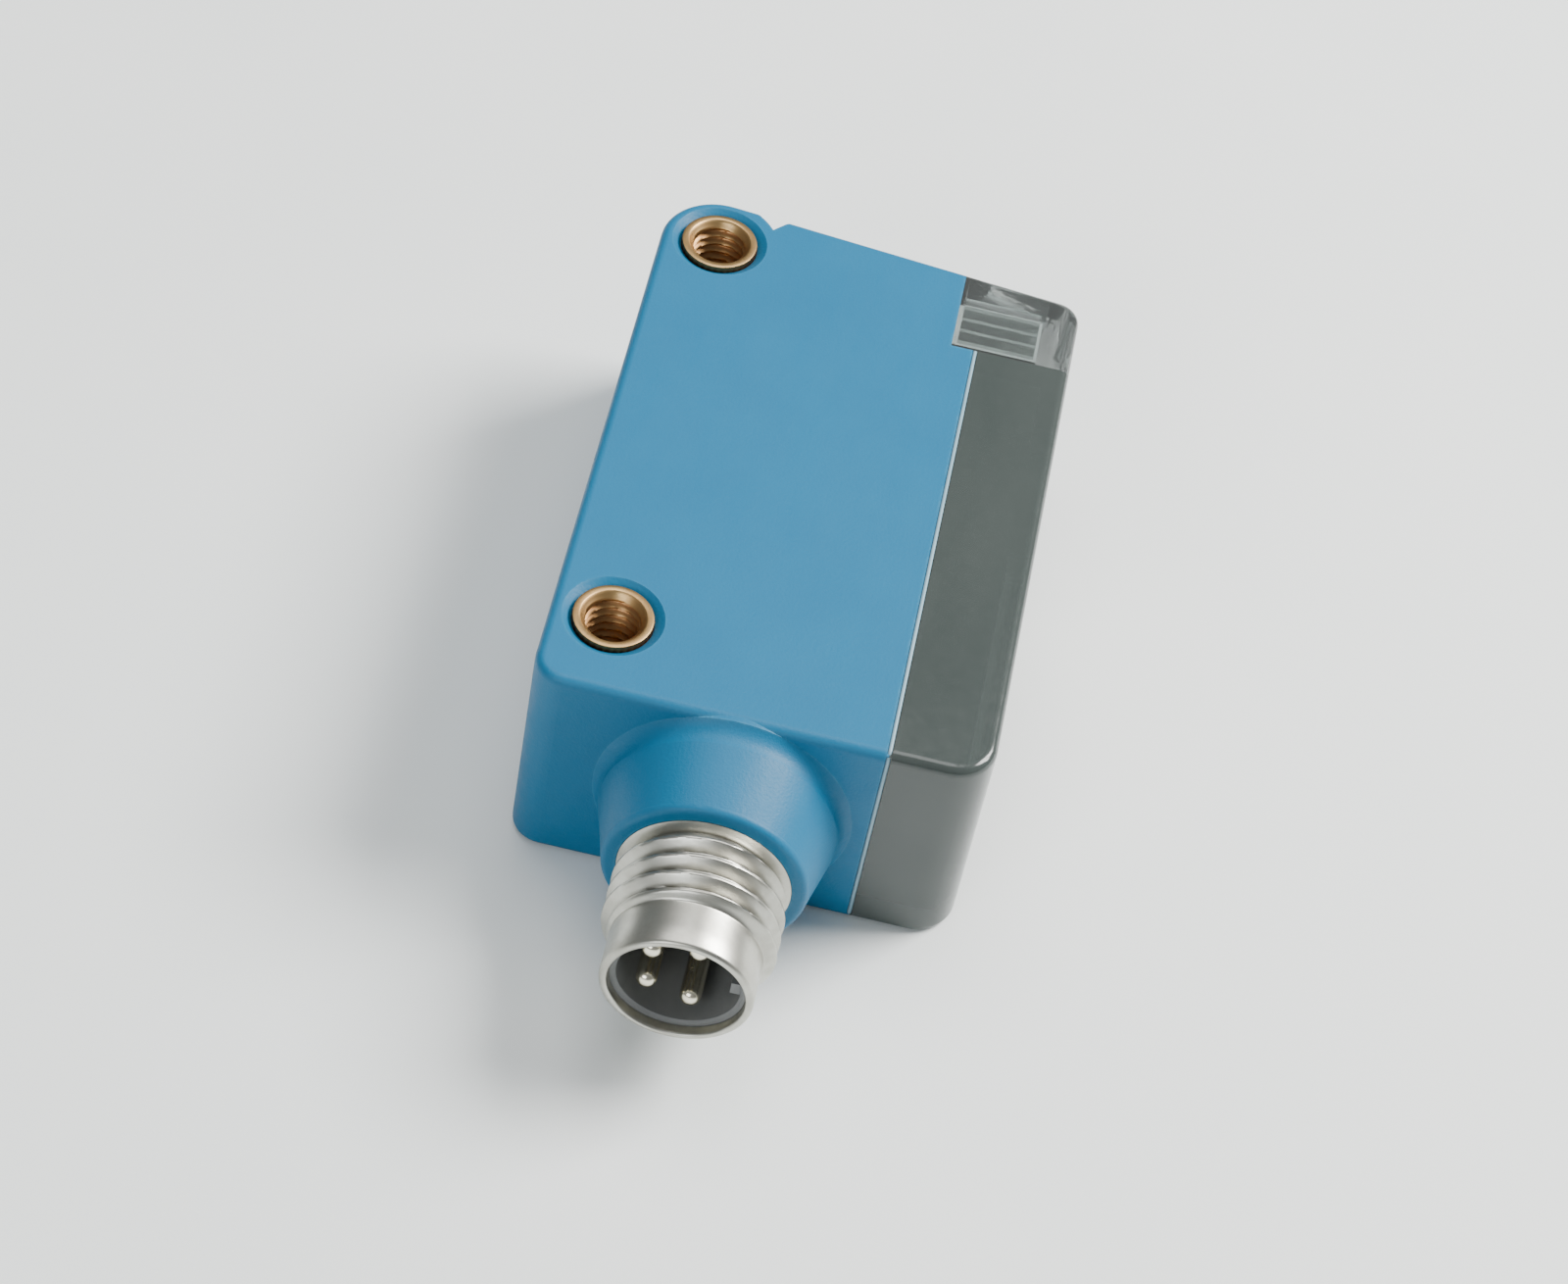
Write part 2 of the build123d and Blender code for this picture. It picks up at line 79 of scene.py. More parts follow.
def new_material(name):
    """Empty node material with its shader and object coordinates."""
    mat = bpy.data.materials.new(name)
    mat.use_nodes = True
    nodes = mat.node_tree.nodes
    shader = nodes["Principled BSDF"]
    coords = nodes.new("ShaderNodeTexCoord")
    return mat, mat.node_tree, shader, coords.outputs["Object"]


def noise(tree, coords, scale, detail=4.0, rough=0.55, stretch=None):
    """Noise value; scale is in cycles per metre, stretch scales each axis."""
    node = tree.nodes.new("ShaderNodeTexNoise")
    node.inputs["Scale"].default_value = scale
    node.inputs["Detail"].default_value = detail
    node.inputs["Roughness"].default_value = rough
    source = coords
    if stretch:
        mapping = tree.nodes.new("ShaderNodeMapping")
        mapping.inputs["Scale"].default_value = stretch
        tree.links.new(coords, mapping.inputs["Vector"])
        source = mapping.outputs["Vector"]
    tree.links.new(source, node.inputs["Vector"])
    return node.outputs["Fac"]


def ranged(tree, value, low, high, from_low=0.3, from_high=0.7):
    """Value stretched from one range to another."""
    node = tree.nodes.new("ShaderNodeMapRange")
    node.inputs["From Min"].default_value = from_low
    node.inputs["From Max"].default_value = from_high
    node.inputs["To Min"].default_value = low
    node.inputs["To Max"].default_value = high
    tree.links.new(value, node.inputs["Value"])
    return node.outputs["Result"]


def blended(tree, factor, first, second):
    """Colour between two colours, or two colour outputs, by a factor."""
    node = tree.nodes.new("ShaderNodeMix")
    node.data_type = "RGBA"
    for socket, colour in ((node.inputs[6], first), (node.inputs[7], second)):
        if hasattr(colour, "links"):
            tree.links.new(colour, socket)
        else:
            socket.default_value = (*colour, 1.0)
    tree.links.new(factor, node.inputs[0])
    return node.outputs[2]


def bumped(tree, shader, layers):
    """Bump from (value, strength, distance in metres) layers, one over another."""
    last = None
    for value, strength, distance in layers:
        node = tree.nodes.new("ShaderNodeBump")
        node.inputs["Strength"].default_value = strength
        node.inputs["Distance"].default_value = distance
        tree.links.new(value, node.inputs["Height"])
        if last:
            tree.links.new(last, node.inputs["Normal"])
        last = node.outputs["Normal"]
    tree.links.new(last, shader.inputs["Normal"])


def painted_shade(tree, colour, shade_colour, reach, amount):
    """Painted shade: a darker tone in corners and recesses, where the ambient occlusion node finds
    them.
    """
    node = tree.nodes.new("ShaderNodeAmbientOcclusion")
    node.samples = AO_SAMPLES
    node.inputs["Distance"].default_value = reach
    factor = ranged(tree, node.outputs["AO"], amount, 0.0, 0.25, 0.85)
    return blended(tree, factor, colour, shade_colour)


def worn_edges(tree, coords, colour, bare, radius):
    """Lighter tone along convex edges, broken up by noise."""
    bevel = tree.nodes.new("ShaderNodeBevel")
    bevel.samples = BEVEL_SAMPLES
    bevel.inputs["Radius"].default_value = radius
    plain = tree.nodes.new("ShaderNodeNewGeometry")
    dot = tree.nodes.new("ShaderNodeVectorMath")
    dot.operation = "DOT_PRODUCT"
    tree.links.new(bevel.outputs["Normal"], dot.inputs[0])
    tree.links.new(plain.outputs["Normal"], dot.inputs[1])
    patchy = noise(tree, coords, 1400.0, 5.0, 0.7)
    edge = ranged(tree, dot.outputs["Value"], 0.55, 0.0, 0.90, 0.995)
    broken = tree.nodes.new("ShaderNodeMath")
    broken.operation = "MULTIPLY"
    tree.links.new(edge, broken.inputs[0])
    tree.links.new(ranged(tree, patchy, 0.15, 1.0, 0.4, 0.65), broken.inputs[1])
    return blended(tree, broken.outputs[0], colour, bare)


def moulded(name, colour, other, rough=(0.38, 0.5), grain=0.12, speck=9000.0, shade_colour=None,
            bare=None, specular=0.5):
    """Injection-moulded plastic: fine spark-eroded grain, cloudy tone and uneven gloss."""
    mat, tree, shader, coords = new_material(name)
    cloud = noise(tree, coords, 260.0, 6.0, 0.6)
    fine = noise(tree, coords, speck, 3.0, 0.6)
    sink = noise(tree, coords, 90.0, 2.0, 0.4)
    wipe = noise(tree, coords, 700.0, 5.0, 0.65, (1.0, 0.25, 1.0))
    tone = blended(tree, ranged(tree, cloud, 0.0, 1.0, 0.35, 0.68), colour, other)
    # painted shade: a darker tone in recesses, from ambient occlusion
    if shade_colour:
        tone = painted_shade(tree, tone, shade_colour, PLASTIC_SHADE_REACH, 0.5)
    if bare:
        tone = worn_edges(tree, coords, tone, bare, PLASTIC_EDGE)
    tree.links.new(tone, shader.inputs["Base Color"])
    tree.links.new(ranged(tree, wipe, rough[0], rough[1]), shader.inputs["Roughness"])
    shader.inputs["Specular IOR Level"].default_value = specular
    bumped(tree, shader, ((sink, 0.25, 0.00012), (fine, grain, 0.00004)))
    return mat


def smoked(name, colour, other, through, rough=(0.08, 0.18), ior=1.5, wavy=0.2,
           scuffed=0.05):
    """Tinted see-through plastic with a polished face and faint flow marks."""
    mat, tree, shader, coords = new_material(name)
    flow = noise(tree, coords, 220.0, 4.0, 0.55, (1.0, 0.3, 1.0))
    haze = noise(tree, coords, 1500.0, 5.0, 0.6)
    scuff = noise(tree, coords, 5200.0, 3.0, 0.7, (1.0, 0.12, 1.0))
    tree.links.new(blended(tree, ranged(tree, flow, 0.0, 1.0), colour, other),
                   shader.inputs["Base Color"])
    tree.links.new(ranged(tree, haze, rough[0], rough[1]), shader.inputs["Roughness"])
    shader.inputs["Transmission Weight"].default_value = through
    shader.inputs["IOR"].default_value = ior
    bumped(tree, shader, ((flow, wavy, 0.00008), (scuff, scuffed, 0.00001)))
    return mat


def metal(name, colour, other, rough=(0.2, 0.34), brush=(1.0, 1.0, 1.0), scale=4000.0,
          shade_colour=(0.05, 0.045, 0.04), scratches=0.12, reach=0.0004):
    """Worked metal: tool lines along one way, small stains, and painted shade darkening its corners
    and recesses.
    """
    mat, tree, shader, coords = new_material(name)
    lines = noise(tree, coords, scale, 3.0, 0.7, brush)
    stain = noise(tree, coords, 520.0, 6.0, 0.65)
    pits = noise(tree, coords, 7000.0, 2.0, 0.5)
    tone = blended(tree, ranged(tree, stain, 0.0, 1.0, 0.38, 0.66), colour, other)
    # painted shade: a darker tone in corners and recesses, from ambient occlusion
    tone = painted_shade(tree, tone, shade_colour, reach, 0.75)
    tree.links.new(tone, shader.inputs["Base Color"])
    tree.links.new(ranged(tree, stain, rough[0], rough[1]), shader.inputs["Roughness"])
    shader.inputs["Metallic"].default_value = 1.0
    bumped(tree, shader, ((lines, scratches, 0.00002), (pits, 0.06, 0.00002)))
    return mat


def rubbery(name, colour, other, rough=(0.62, 0.8)):
    """Matt elastomer with a dusty bloom and fine pores."""
    mat, tree, shader, coords = new_material(name)
    bloom = noise(tree, coords, 900.0, 6.0, 0.7)
    pores = noise(tree, coords, 11000.0, 2.0, 0.6)
    tree.links.new(blended(tree, ranged(tree, bloom, 0.0, 1.0), colour, other),
                   shader.inputs["Base Color"])
    tree.links.new(ranged(tree, bloom, rough[0], rough[1]), shader.inputs["Roughness"])
    shader.inputs["Sheen Weight"].default_value = 0.15
    bumped(tree, shader, ((pores, 0.2, 0.00003),))
    return mat


def sounding(name):
    """Sensing face: syntactic foam of tiny glass bubbles in pale resin."""
    mat, tree, shader, coords = new_material(name)
    cells = tree.nodes.new("ShaderNodeTexVoronoi")
    cells.inputs["Scale"].default_value = 5200.0
    tree.links.new(coords, cells.inputs["Vector"])
    cloud = noise(tree, coords, 600.0, 5.0, 0.6)
    tone = blended(tree, ranged(tree, cloud, 0.0, 1.0), (0.60, 0.59, 0.54), (0.49, 0.485, 0.45))
    spots = ranged(tree, cells.outputs["Distance"], 0.35, 0.0, 0.05, 0.45)
    tone = blended(tree, spots, tone, (0.76, 0.76, 0.73))
    tree.links.new(tone, shader.inputs["Base Color"])
    tree.links.new(ranged(tree, cloud, 0.5, 0.66), shader.inputs["Roughness"])
    bumped(tree, shader, ((cells.outputs["Distance"], 0.25, 0.00003),))
    return mat


def board_resin(name):
    """Green solder resist over woven glass, with copper showing through as paler tracks."""
    mat, tree, shader, coords = new_material(name)
    turned = tree.nodes.new("ShaderNodeMapping")
    turned.inputs["Rotation"].default_value = (0.0, 0.0, math.radians(45.0))
    tree.links.new(coords, turned.inputs["Vector"])
    tracks = tree.nodes.new("ShaderNodeTexBrick")
    tracks.inputs["Scale"].default_value = 420.0
    tracks.inputs["Mortar Size"].default_value = 0.06
    tracks.inputs["Mortar Smooth"].default_value = 0.2
    tracks.inputs["Brick Width"].default_value = 0.9
    tracks.inputs["Row Height"].default_value = 0.3
    tree.links.new(turned.outputs["Vector"], tracks.inputs["Vector"])
    weave = tree.nodes.new("ShaderNodeTexWave")
    weave.inputs["Scale"].default_value = 1400.0
    weave.inputs["Distortion"].default_value = 1.5
    tree.links.new(coords, weave.inputs["Vector"])
    cloud = noise(tree, coords, 500.0)
    tone = blended(tree, ranged(tree, cloud, 0.0, 1.0), (0.012, 0.13, 0.05), (0.02, 0.18, 0.075))
    tone = blended(tree, ranged(tree, tracks.outputs["Fac"], 0.0, 0.2, 0.0, 1.0), tone,
                   (0.07, 0.34, 0.14))
    tree.links.new(tone, shader.inputs["Base Color"])
    tree.links.new(ranged(tree, cloud, 0.22, 0.38), shader.inputs["Roughness"])
    bumped(tree, shader, ((tracks.outputs["Fac"], 0.15, 0.00003),
                          (weave.outputs["Fac"], 0.05, 0.00001)))
    return mat


# BLUE's third colour is painted shade for its recesses; the pale fourth is the lighter tone of worn
# edges.
BLUE = moulded("blue_moulded", (0.004, 0.135, 0.270), (0.0035, 0.128, 0.258), (0.42, 0.52),
               0.42, 7000.0, (0.003, 0.050, 0.100), (0.07, 0.26, 0.40), 0.3)
SMOKE = smoked("smoked_cover", (0.090, 0.112, 0.106), (0.115, 0.138, 0.130), 0.55, (0.10, 0.20))
CLEAR = smoked("window_clear", (0.60, 0.64, 0.63), (0.54, 0.58, 0.57), 0.94, (0.02, 0.08), 1.52,
               0.6, 0.01)
# BRASS's dark red third colour, reaching 1.6 mm, is painted shade deep in the inserts' threaded
# bores.
BRASS = metal("brass_turned", (0.52, 0.34, 0.15), (0.39, 0.235, 0.10), (0.32, 0.48),
              (1.0, 1.0, 0.15), 3500.0, (0.26, 0.050, 0.012), reach=0.0016)
# NICKEL, GOLD, ALU and COPPER take metal's default painted shade in their corners and recesses.
NICKEL = metal("nickel_plated", (0.55, 0.545, 0.495), (0.43, 0.42, 0.37), (0.27, 0.41),
               (0.3, 1.0, 0.3), 5000.0)
GOLD = metal("contact_gold", (0.92, 0.88, 0.74), (0.86, 0.80, 0.62), (0.16, 0.30),
             (1.0, 0.2, 1.0), 6000.0)
ALU = metal("drawn_aluminium", (0.80, 0.81, 0.82), (0.70, 0.71, 0.72), (0.24, 0.38),
            (0.2, 1.0, 1.0), 5000.0)
COPPER = metal("copper_winding", (0.62, 0.26, 0.11), (0.50, 0.18, 0.07), (0.25, 0.4),
               scratches=0.05)
# DARK's grey is set lighter than the insulator's own colour: painted light for the glare on the
# carrier deep in the plug's cup.
DARK = moulded("dark_insulator", (0.150, 0.156, 0.156), (0.185, 0.190, 0.190), (0.45, 0.6), 0.2)
BUTTON = moulded("button_grey", (0.030, 0.033, 0.036), (0.045, 0.048, 0.051), (0.5, 0.64), 0.35,
                 7000.0)
CHIP = moulded("chip_epoxy", (0.018, 0.018, 0.020), (0.030, 0.030, 0.032), (0.5, 0.68), 0.3,
               14000.0)
SWITCH = moulded("switch_plastic", (0.03, 0.03, 0.034), (0.05, 0.05, 0.054), (0.4, 0.52), 0.15)
FERRITE = moulded("ferrite", (0.045, 0.044, 0.046), (0.080, 0.078, 0.080), (0.42, 0.62), 0.4,
                  7000.0)
CERAMIC = moulded("capacitor_ceramic", (0.38, 0.25, 0.14), (0.46, 0.31, 0.18), (0.35, 0.5), 0.15)
PIEZO = moulded("piezo_silvered", (0.55, 0.54, 0.50), (0.64, 0.63, 0.58), (0.3, 0.45), 0.3, 8000.0)
SEAL = rubbery("seal_rubber", (0.016, 0.016, 0.017), (0.030, 0.030, 0.031))
SOFT = rubbery("soft_silicone", (0.050, 0.053, 0.057), (0.075, 0.078, 0.082))
POTTING = rubbery("damping_compound", (0.040, 0.040, 0.044), (0.070, 0.068, 0.072), (0.5, 0.7))
LAMP = smoked("lamp_lens", (0.86, 0.88, 0.84), (0.78, 0.80, 0.76), 0.6, (0.08, 0.2))
FACE = sounding("sensing_face")
BOARD = board_resin("board_resist")
WIRE_GLOSS = (0.35, 0.5)
WIRES = {name: rubbery(name, colour, other, WIRE_GLOSS) for name, colour, other in (
    ("wire_red", (0.42, 0.02, 0.02), (0.52, 0.04, 0.03)),
    ("wire_black", (0.015, 0.015, 0.016), (0.03, 0.03, 0.03)),
    ("wire_brown", (0.11, 0.040, 0.018), (0.15, 0.06, 0.03)),
    ("wire_white", (0.72, 0.72, 0.68), (0.62, 0.62, 0.58)),
    ("wire_blue", (0.02, 0.06, 0.30), (0.03, 0.09, 0.38)),
)}
BY_SLOT = {
    "blue_plastic": BLUE, "smoked_plastic": SMOKE, "clear_plastic": CLEAR, "seal_rubber": SEAL,
    "brass": BRASS, "plated_brass": NICKEL, "dark_plastic": DARK, "can_aluminium": ALU,
    "sensing_face": FACE, "piezo_ceramic": PIEZO, "damping_compound": POTTING,
    "soft_silicone": SOFT, "board": BOARD, "chip_black": CHIP, "ferrite": FERRITE,
    "copper": COPPER, "capacitor_ceramic": CERAMIC, "lamp": LAMP, "switch_plastic": SWITCH,
    "button_plastic": BUTTON, "gold_pin": GOLD,
}
BY_SLOT.update(WIRES)


# ---------------------------------------------------------------- mesh helpers

def paint(obj, mat):
    """Gives an object one material."""
    obj.data.materials.clear()
    obj.data.materials.append(mat)
    return obj


def finish_mesh(name, verts, faces, mat, sharp=35.0):
    """Mesh object from lists, shaded smooth with sharp corners kept."""
    mesh = bpy.data.meshes.new(name)
    mesh.from_pydata(verts, [], faces)
    mesh.validate()
    work = bmesh.new()
    work.from_mesh(mesh)
    bmesh.ops.remove_doubles(work, verts=work.verts, dist=1e-7)
    bmesh.ops.recalc_face_normals(work, faces=work.faces)
    work.to_mesh(mesh)
    work.free()
    mesh.shade_smooth()
    mesh.set_sharp_from_angle(angle=math.radians(sharp))
    obj = bpy.data.objects.new(name, mesh)
    bpy.context.scene.collection.objects.link(obj)
    return paint(obj, mat)


def axis_point(axis, centre, radius, angle, along):
    """Point around an axis line through centre; along is the coordinate on that axis."""
    a, b = radius * math.cos(angle), radius * math.sin(angle)
    if axis == "X":
        return Vector((along, centre.y + a, centre.z + b))
    if axis == "Y":
        return Vector((centre.x + a, along, centre.z + b))
    return Vector((centre.x + a, centre.y + b, along))


def lathe(name, axis, centre, rows, mat, segments=96, closed=False, sharp=35.0):
    """Turned piece. A row is (radius in mm, along in mm) or a function of the angle giving them."""
    verts, faces = [], []
    for row in rows:
        for step in range(segments):
            angle = TURN * step / segments
            radius, along = row(angle) if callable(row) else row
            verts.append(axis_point(axis, centre, radius * MM, angle, along * MM))
    count = len(rows)
    last = count if closed else count - 1
    for row in range(last):
        for step in range(segments):
            nxt = (step + 1) % segments
            low, high = row * segments, (row + 1) % count * segments
            faces.append((low + step, low + nxt, high + nxt, high + step))
    if not closed:
        faces.append(tuple(range(segments)))
        faces.append(tuple(reversed(range((count - 1) * segments, count * segments))))
    return finish_mesh(name, verts, faces, mat, sharp)


def ridge(turns):
    """Height from 0 to 1 of a 60 degree thread with a small flat crest and a round root."""
    part = abs((turns % 1.0) - 0.5) * 2.0
    return min(1.0, max(0.0, (part - 0.12) / 0.74)) ** 0.9


def faded(value, start, end, soft):
    """1 between start and end, falling to 0 over soft at each side."""
    rise = (value - start) / soft
    fall = (end - value) / soft
    return max(0.0, min(1.0, rise, fall))


def place(obj, body, slot, *replaced):
    """Rides on a body and stands for CAD nodes; slot is not used."""
    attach(obj, body)
    if replaced:
        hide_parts(*replaced)
    return obj


# ---------------------------------------------------------------- CAD nodes that stay

for record_part in frame["record"]["subparts"]:
    node = NODES[record_part["node"]]
    paint(node, BY_SLOT[record_part["material_slot"]])


# ---------------------------------------------------------------- plug

PLUG = mid("connector_seal")
TIP_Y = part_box("connector_shell")[0].y / MM
SHELL_REAR_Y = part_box("shell_collar")[1].y / MM
BOSS_END_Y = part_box("housing")[0].y / MM
CARRIER_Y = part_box("contact_carrier")[0].y / MM
# radii, lengths and Y places in mm
SHELL_ROOT, SHELL_CREST, SHELL_PITCH = 3.45, 3.99, 1.0
CUP_R, SHELL_BODY_R, COLLAR_R = 3.06, 3.98, 4.34
PLAIN_TIP, BOSS_GAP = 2.35, 0.45
THREAD_STEP, THREAD_FADE, THREAD_OVERRUN = 0.04, 0.35, 0.2
GROOVE_R, GROOVE_LOW_Y, GROOVE_HIGH_Y, COLLAR_LOW_Y = 3.50, -18.95, -18.05, -15.92
PIN_R, PIN_BODY_R, PIN_TAIL_R, PIN_SHOULDER_Y = 0.49, 0.495, 0.38, -14.25
PIN_NUMBERS = range(1, 5)


def plug_shell():
    """Plated M8 shell: running-out thread, plain tip as wide as the root, rounded mouth."""
    start, end = TIP_Y + PLAIN_TIP, BOSS_END_Y - BOSS_GAP
    rows = [(CUP_R, TIP_Y + 0.14), (3.09, TIP_Y + 0.04), (3.14, TIP_Y), (3.28, TIP_Y),
            (3.35, TIP_Y + 0.03), (3.42, TIP_Y + 0.10), (SHELL_ROOT, TIP_Y + 0.20),
            (SHELL_ROOT, TIP_Y + 1.10), (SHELL_ROOT, TIP_Y + 1.92)]
    steps = int((end - start) / THREAD_STEP)
    length = end - start + 2.0 * THREAD_OVERRUN
    for number in range(steps + 1):
        along = start - THREAD_OVERRUN + length * number / steps

        def thread(angle, along=along):
            turns = along / SHELL_PITCH + angle / TURN
            lift = ridge(turns) * faded(along, start, end, THREAD_FADE)
            return SHELL_ROOT + (SHELL_CREST - SHELL_ROOT) * lift, along

        rows.append(thread)
    rows += [(SHELL_ROOT, BOSS_END_Y - 0.22), (3.80, BOSS_END_Y - 0.10),
             (SHELL_BODY_R, BOSS_END_Y - 0.02), (SHELL_BODY_R, GROOVE_LOW_Y),
             (GROOVE_R, GROOVE_LOW_Y + 0.05), (GROOVE_R, GROOVE_HIGH_Y - 0.05),
             (SHELL_BODY_R, GROOVE_HIGH_Y), (SHELL_BODY_R, COLLAR_LOW_Y),
             (COLLAR_R, COLLAR_LOW_Y + 0.04), (COLLAR_R, SHELL_REAR_Y), (CUP_R, SHELL_REAR_Y),
             (CUP_R, CARRIER_Y + 0.4), (3.05, CARRIER_Y - 0.4)]
    return lathe("plug_shell", "Y", PLUG, rows, NICKEL, 144, closed=True, sharp=40.0)


place(plug_shell(), "sensor", "plated_brass", "connector_shell", "shell_thread", "shell_collar")

for number in PIN_NUMBERS:
    node = f"contact_pin_{number}"
    low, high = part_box(node)
    tip, tail = low.y / MM, high.y / MM
    rows = [(AXIS_R, tip)]
    for step in range(1, 9):
        turn = step / 8.0 * math.pi / 2.0
        rows.append((PIN_R * math.sin(turn) ** 0.9, tip + 0.42 * (1.0 - math.cos(turn))))
    rows += [(PIN_R, tip + 3.0), (PIN_BODY_R, tip + 3.05), (PIN_BODY_R, PIN_SHOULDER_Y),
             (PIN_TAIL_R, PIN_SHOULDER_Y + 0.05), (PIN_TAIL_R, tail - 0.05), (0.33, tail),
             (AXIS_R, tail)]
    pin = lathe(f"pin_{number}", "Y", mid(node), rows, GOLD, 48)
    place(pin, "sensor", "gold_pin", node)
    collar = [(0.50, CARRIER_Y - 0.01), (0.50, CARRIER_Y - 0.16), (0.56, CARRIER_Y - 0.20),
              (0.72, CARRIER_Y - 0.20), (0.80, CARRIER_Y - 0.14), (0.84, CARRIER_Y - 0.01)]
    ring = lathe(f"pin_collar_{number}", "Y", mid(node), collar, DARK, 48, closed=True)
    place(ring, "sensor", "dark_plastic")


# ---------------------------------------------------------------- screw inserts

INSERT_CORE, INSERT_ROOT, INSERT_PITCH, INSERT_STEPS = 1.25, 1.50, 0.5, 230
KNURL_R, KNURL_DEPTH, KNURL_TEETH, KNURL_LEAN = 1.89, 0.06, 36.0, 4.0
KNURL_ROWS = (0.12, 1.2, 2.4, 3.6, 4.8)


def screw_insert(node, name):
    """Brass insert with an M3 thread inside, broken edges and a knurled outside."""
    centre = mid(node)
    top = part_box(node)[1].z / MM
    rows = []

    def knurled(along):
        def row(angle):
            height = 0.5 + 0.5 * math.cos(angle * KNURL_TEETH + along * KNURL_LEAN)
            return KNURL_R - KNURL_DEPTH * height, along
        return row

    rows += [knurled(along) for along in KNURL_ROWS]
    rows += [(1.64, 5.05), (1.64, top - 5.05)]
    rows += [knurled(top - along) for along in reversed(KNURL_ROWS)]
    rows += [(1.84, top - 0.02), (1.78, top), (1.56, top), (1.52, top - 0.02), (1.44, top - 0.12)]
    for number in range(INSERT_STEPS + 1):
        along = top - 0.2 - (top - 0.4) * number / INSERT_STEPS

        def thread(angle, along=along):
            cut = ridge(along / INSERT_PITCH + angle / TURN) * faded(along, 0.3, top - 0.3, 0.2)
            ends = max(0.0, 0.34 - min(along, top - along)) * 0.9
            depth = max(INSERT_CORE + (INSERT_ROOT - INSERT_CORE) * cut, INSERT_CORE + ends)
            return min(INSERT_ROOT, depth), along

        rows.append(thread)
    rows += [(1.44, 0.12), (1.52, 0.02), (1.56, 0.0), (1.78, 0.0), (1.84, 0.02)]
    return lathe(name, "Z", centre, rows, BRASS, 72, closed=True, sharp=45.0)


place(screw_insert("upper_insert", "insert_upper"), "sensor", "brass", "upper_insert")
place(screw_insert("lower_insert", "insert_lower"), "sensor", "brass", "lower_insert")


# ---------------------------------------------------------------- sounding end

SOUND = mid("transducer_can")
CAN_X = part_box("transducer_can")[1].x / MM
RING_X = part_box("decoupling_ring")[1].x / MM
RING_BACK_X, CAN_BACK_X, FACE_BACK_X = 13.0, 10.2, 16.7

ring_rows = [(4.11, RING_BACK_X), (4.11, RING_X - 0.12), (4.15, RING_X - 0.03), (4.24, RING_X),
             (4.36, RING_X - 0.06), (4.44, RING_X - 0.06), (4.55, RING_X),
             (4.63, RING_X - 0.10), (4.64, RING_X - 0.3), (4.64, RING_BACK_X)]
place(lathe("soft_ring", "X", SOUND, ring_rows, SOFT, 128, closed=True), "sensor",
      "soft_silicone", "decoupling_ring")
can_rows = [(4.09, CAN_BACK_X), (4.09, CAN_X - 0.12), (4.05, CAN_X - 0.03), (3.98, CAN_X),
            (3.80, CAN_X), (3.72, CAN_X - 0.03), (3.71, CAN_X - 0.12), (3.71, CAN_BACK_X)]
place(lathe("drawn_can", "X", SOUND, can_rows, ALU, 128, closed=True), "sensor",
      "can_aluminium", "transducer_can")
face_rows = [(AXIS_R, CAN_X - 0.02), (1.8, CAN_X - 0.024), (2.9, CAN_X - 0.035),
             (3.45, CAN_X - 0.06), (3.58, CAN_X - 0.12), (3.62, CAN_X - 0.22), (3.66, CAN_X - 0.30),
             (3.69, CAN_X - 0.34), (3.69, FACE_BACK_X), (AXIS_R, FACE_BACK_X)]
place(lathe("sound_face", "X", SOUND, face_rows, FACE, 128), "sensor", "sensing_face",
      "matching_layer")


# ---------------------------------------------------------------- seam and window

SEAM_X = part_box("front_cover")[0].x / MM
COVER_LOW, COVER_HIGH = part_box("front_cover")
# pale blue of the seam strip: a painted highlight along the seam's edge
SEAM_HIGHLIGHT = moulded("seam_highlight_paint", (0.20, 0.34, 0.42), (0.26, 0.40, 0.47), (0.25, 0.4), 0.1)


def painted_seam_highlight():
    """Thin pale strip in the groove between housing and cover, coloured as a painted highlight
    along the seam.
    """
    r, corner = 0.11, 0.42
    low_y, high_y = COVER_LOW.y / MM + r, COVER_HIGH.y / MM
    low_z, high_z = r, COVER_HIGH.z / MM - r
    path = [(high_y, high_z)]
    for around, (cy, cz) in ((90.0, (low_y + corner, high_z - corner)),
                             (180.0, (low_y + corner, low_z + corner))):
        for step in range(7):
            angle = math.radians(around + 15.0 * step)
            path.append((cy + corner * math.cos(angle), cz + corner * math.sin(angle)))
    path.append((high_y, low_z))
    curve = bpy.data.curves.new("painted_seam_highlight", "CURVE")
    curve.dimensions = "3D"
    curve.bevel_depth = r * MM
    curve.bevel_resolution = 3
    curve.use_fill_caps = True
    line = curve.splines.new("POLY")
    line.points.add(len(path) - 1)
    for point, (y, z) in zip(line.points, path):
        point.co = (SEAM_X * MM, y * MM, z * MM, 1.0)
    obj = bpy.data.objects.new("painted_seam_highlight", curve)
    bpy.context.scene.collection.objects.link(obj)
    return paint(obj, SEAM_HIGHLIGHT)


place(painted_seam_highlight(), "sensor", "blue_plastic")

WINDOW_LOW, WINDOW_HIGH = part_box("indicator_window")
LENS_X = 16.4
RIB_TOP, RIB_DROP, RIB_PITCH, RIB_COUNT, RIB_PEAK = 10.41, 0.55, 0.8, 4, 0.62

for number, node in enumerate(("power_lamp", "output_lamp"), 1):
    rows = [(AXIS_R, LENS_X - 1.7), (0.30, LENS_X - 1.66), (0.58, LENS_X - 1.5),
            (0.64, LENS_X - 1.2), (0.66, LENS_X - 0.1), (0.68, LENS_X), (AXIS_R, LENS_X)]
    lens = lathe(f"window_lens_{number}", "X", mid(node), rows, LAMP, 48)
    place(lens, "sensor", "clear_plastic")


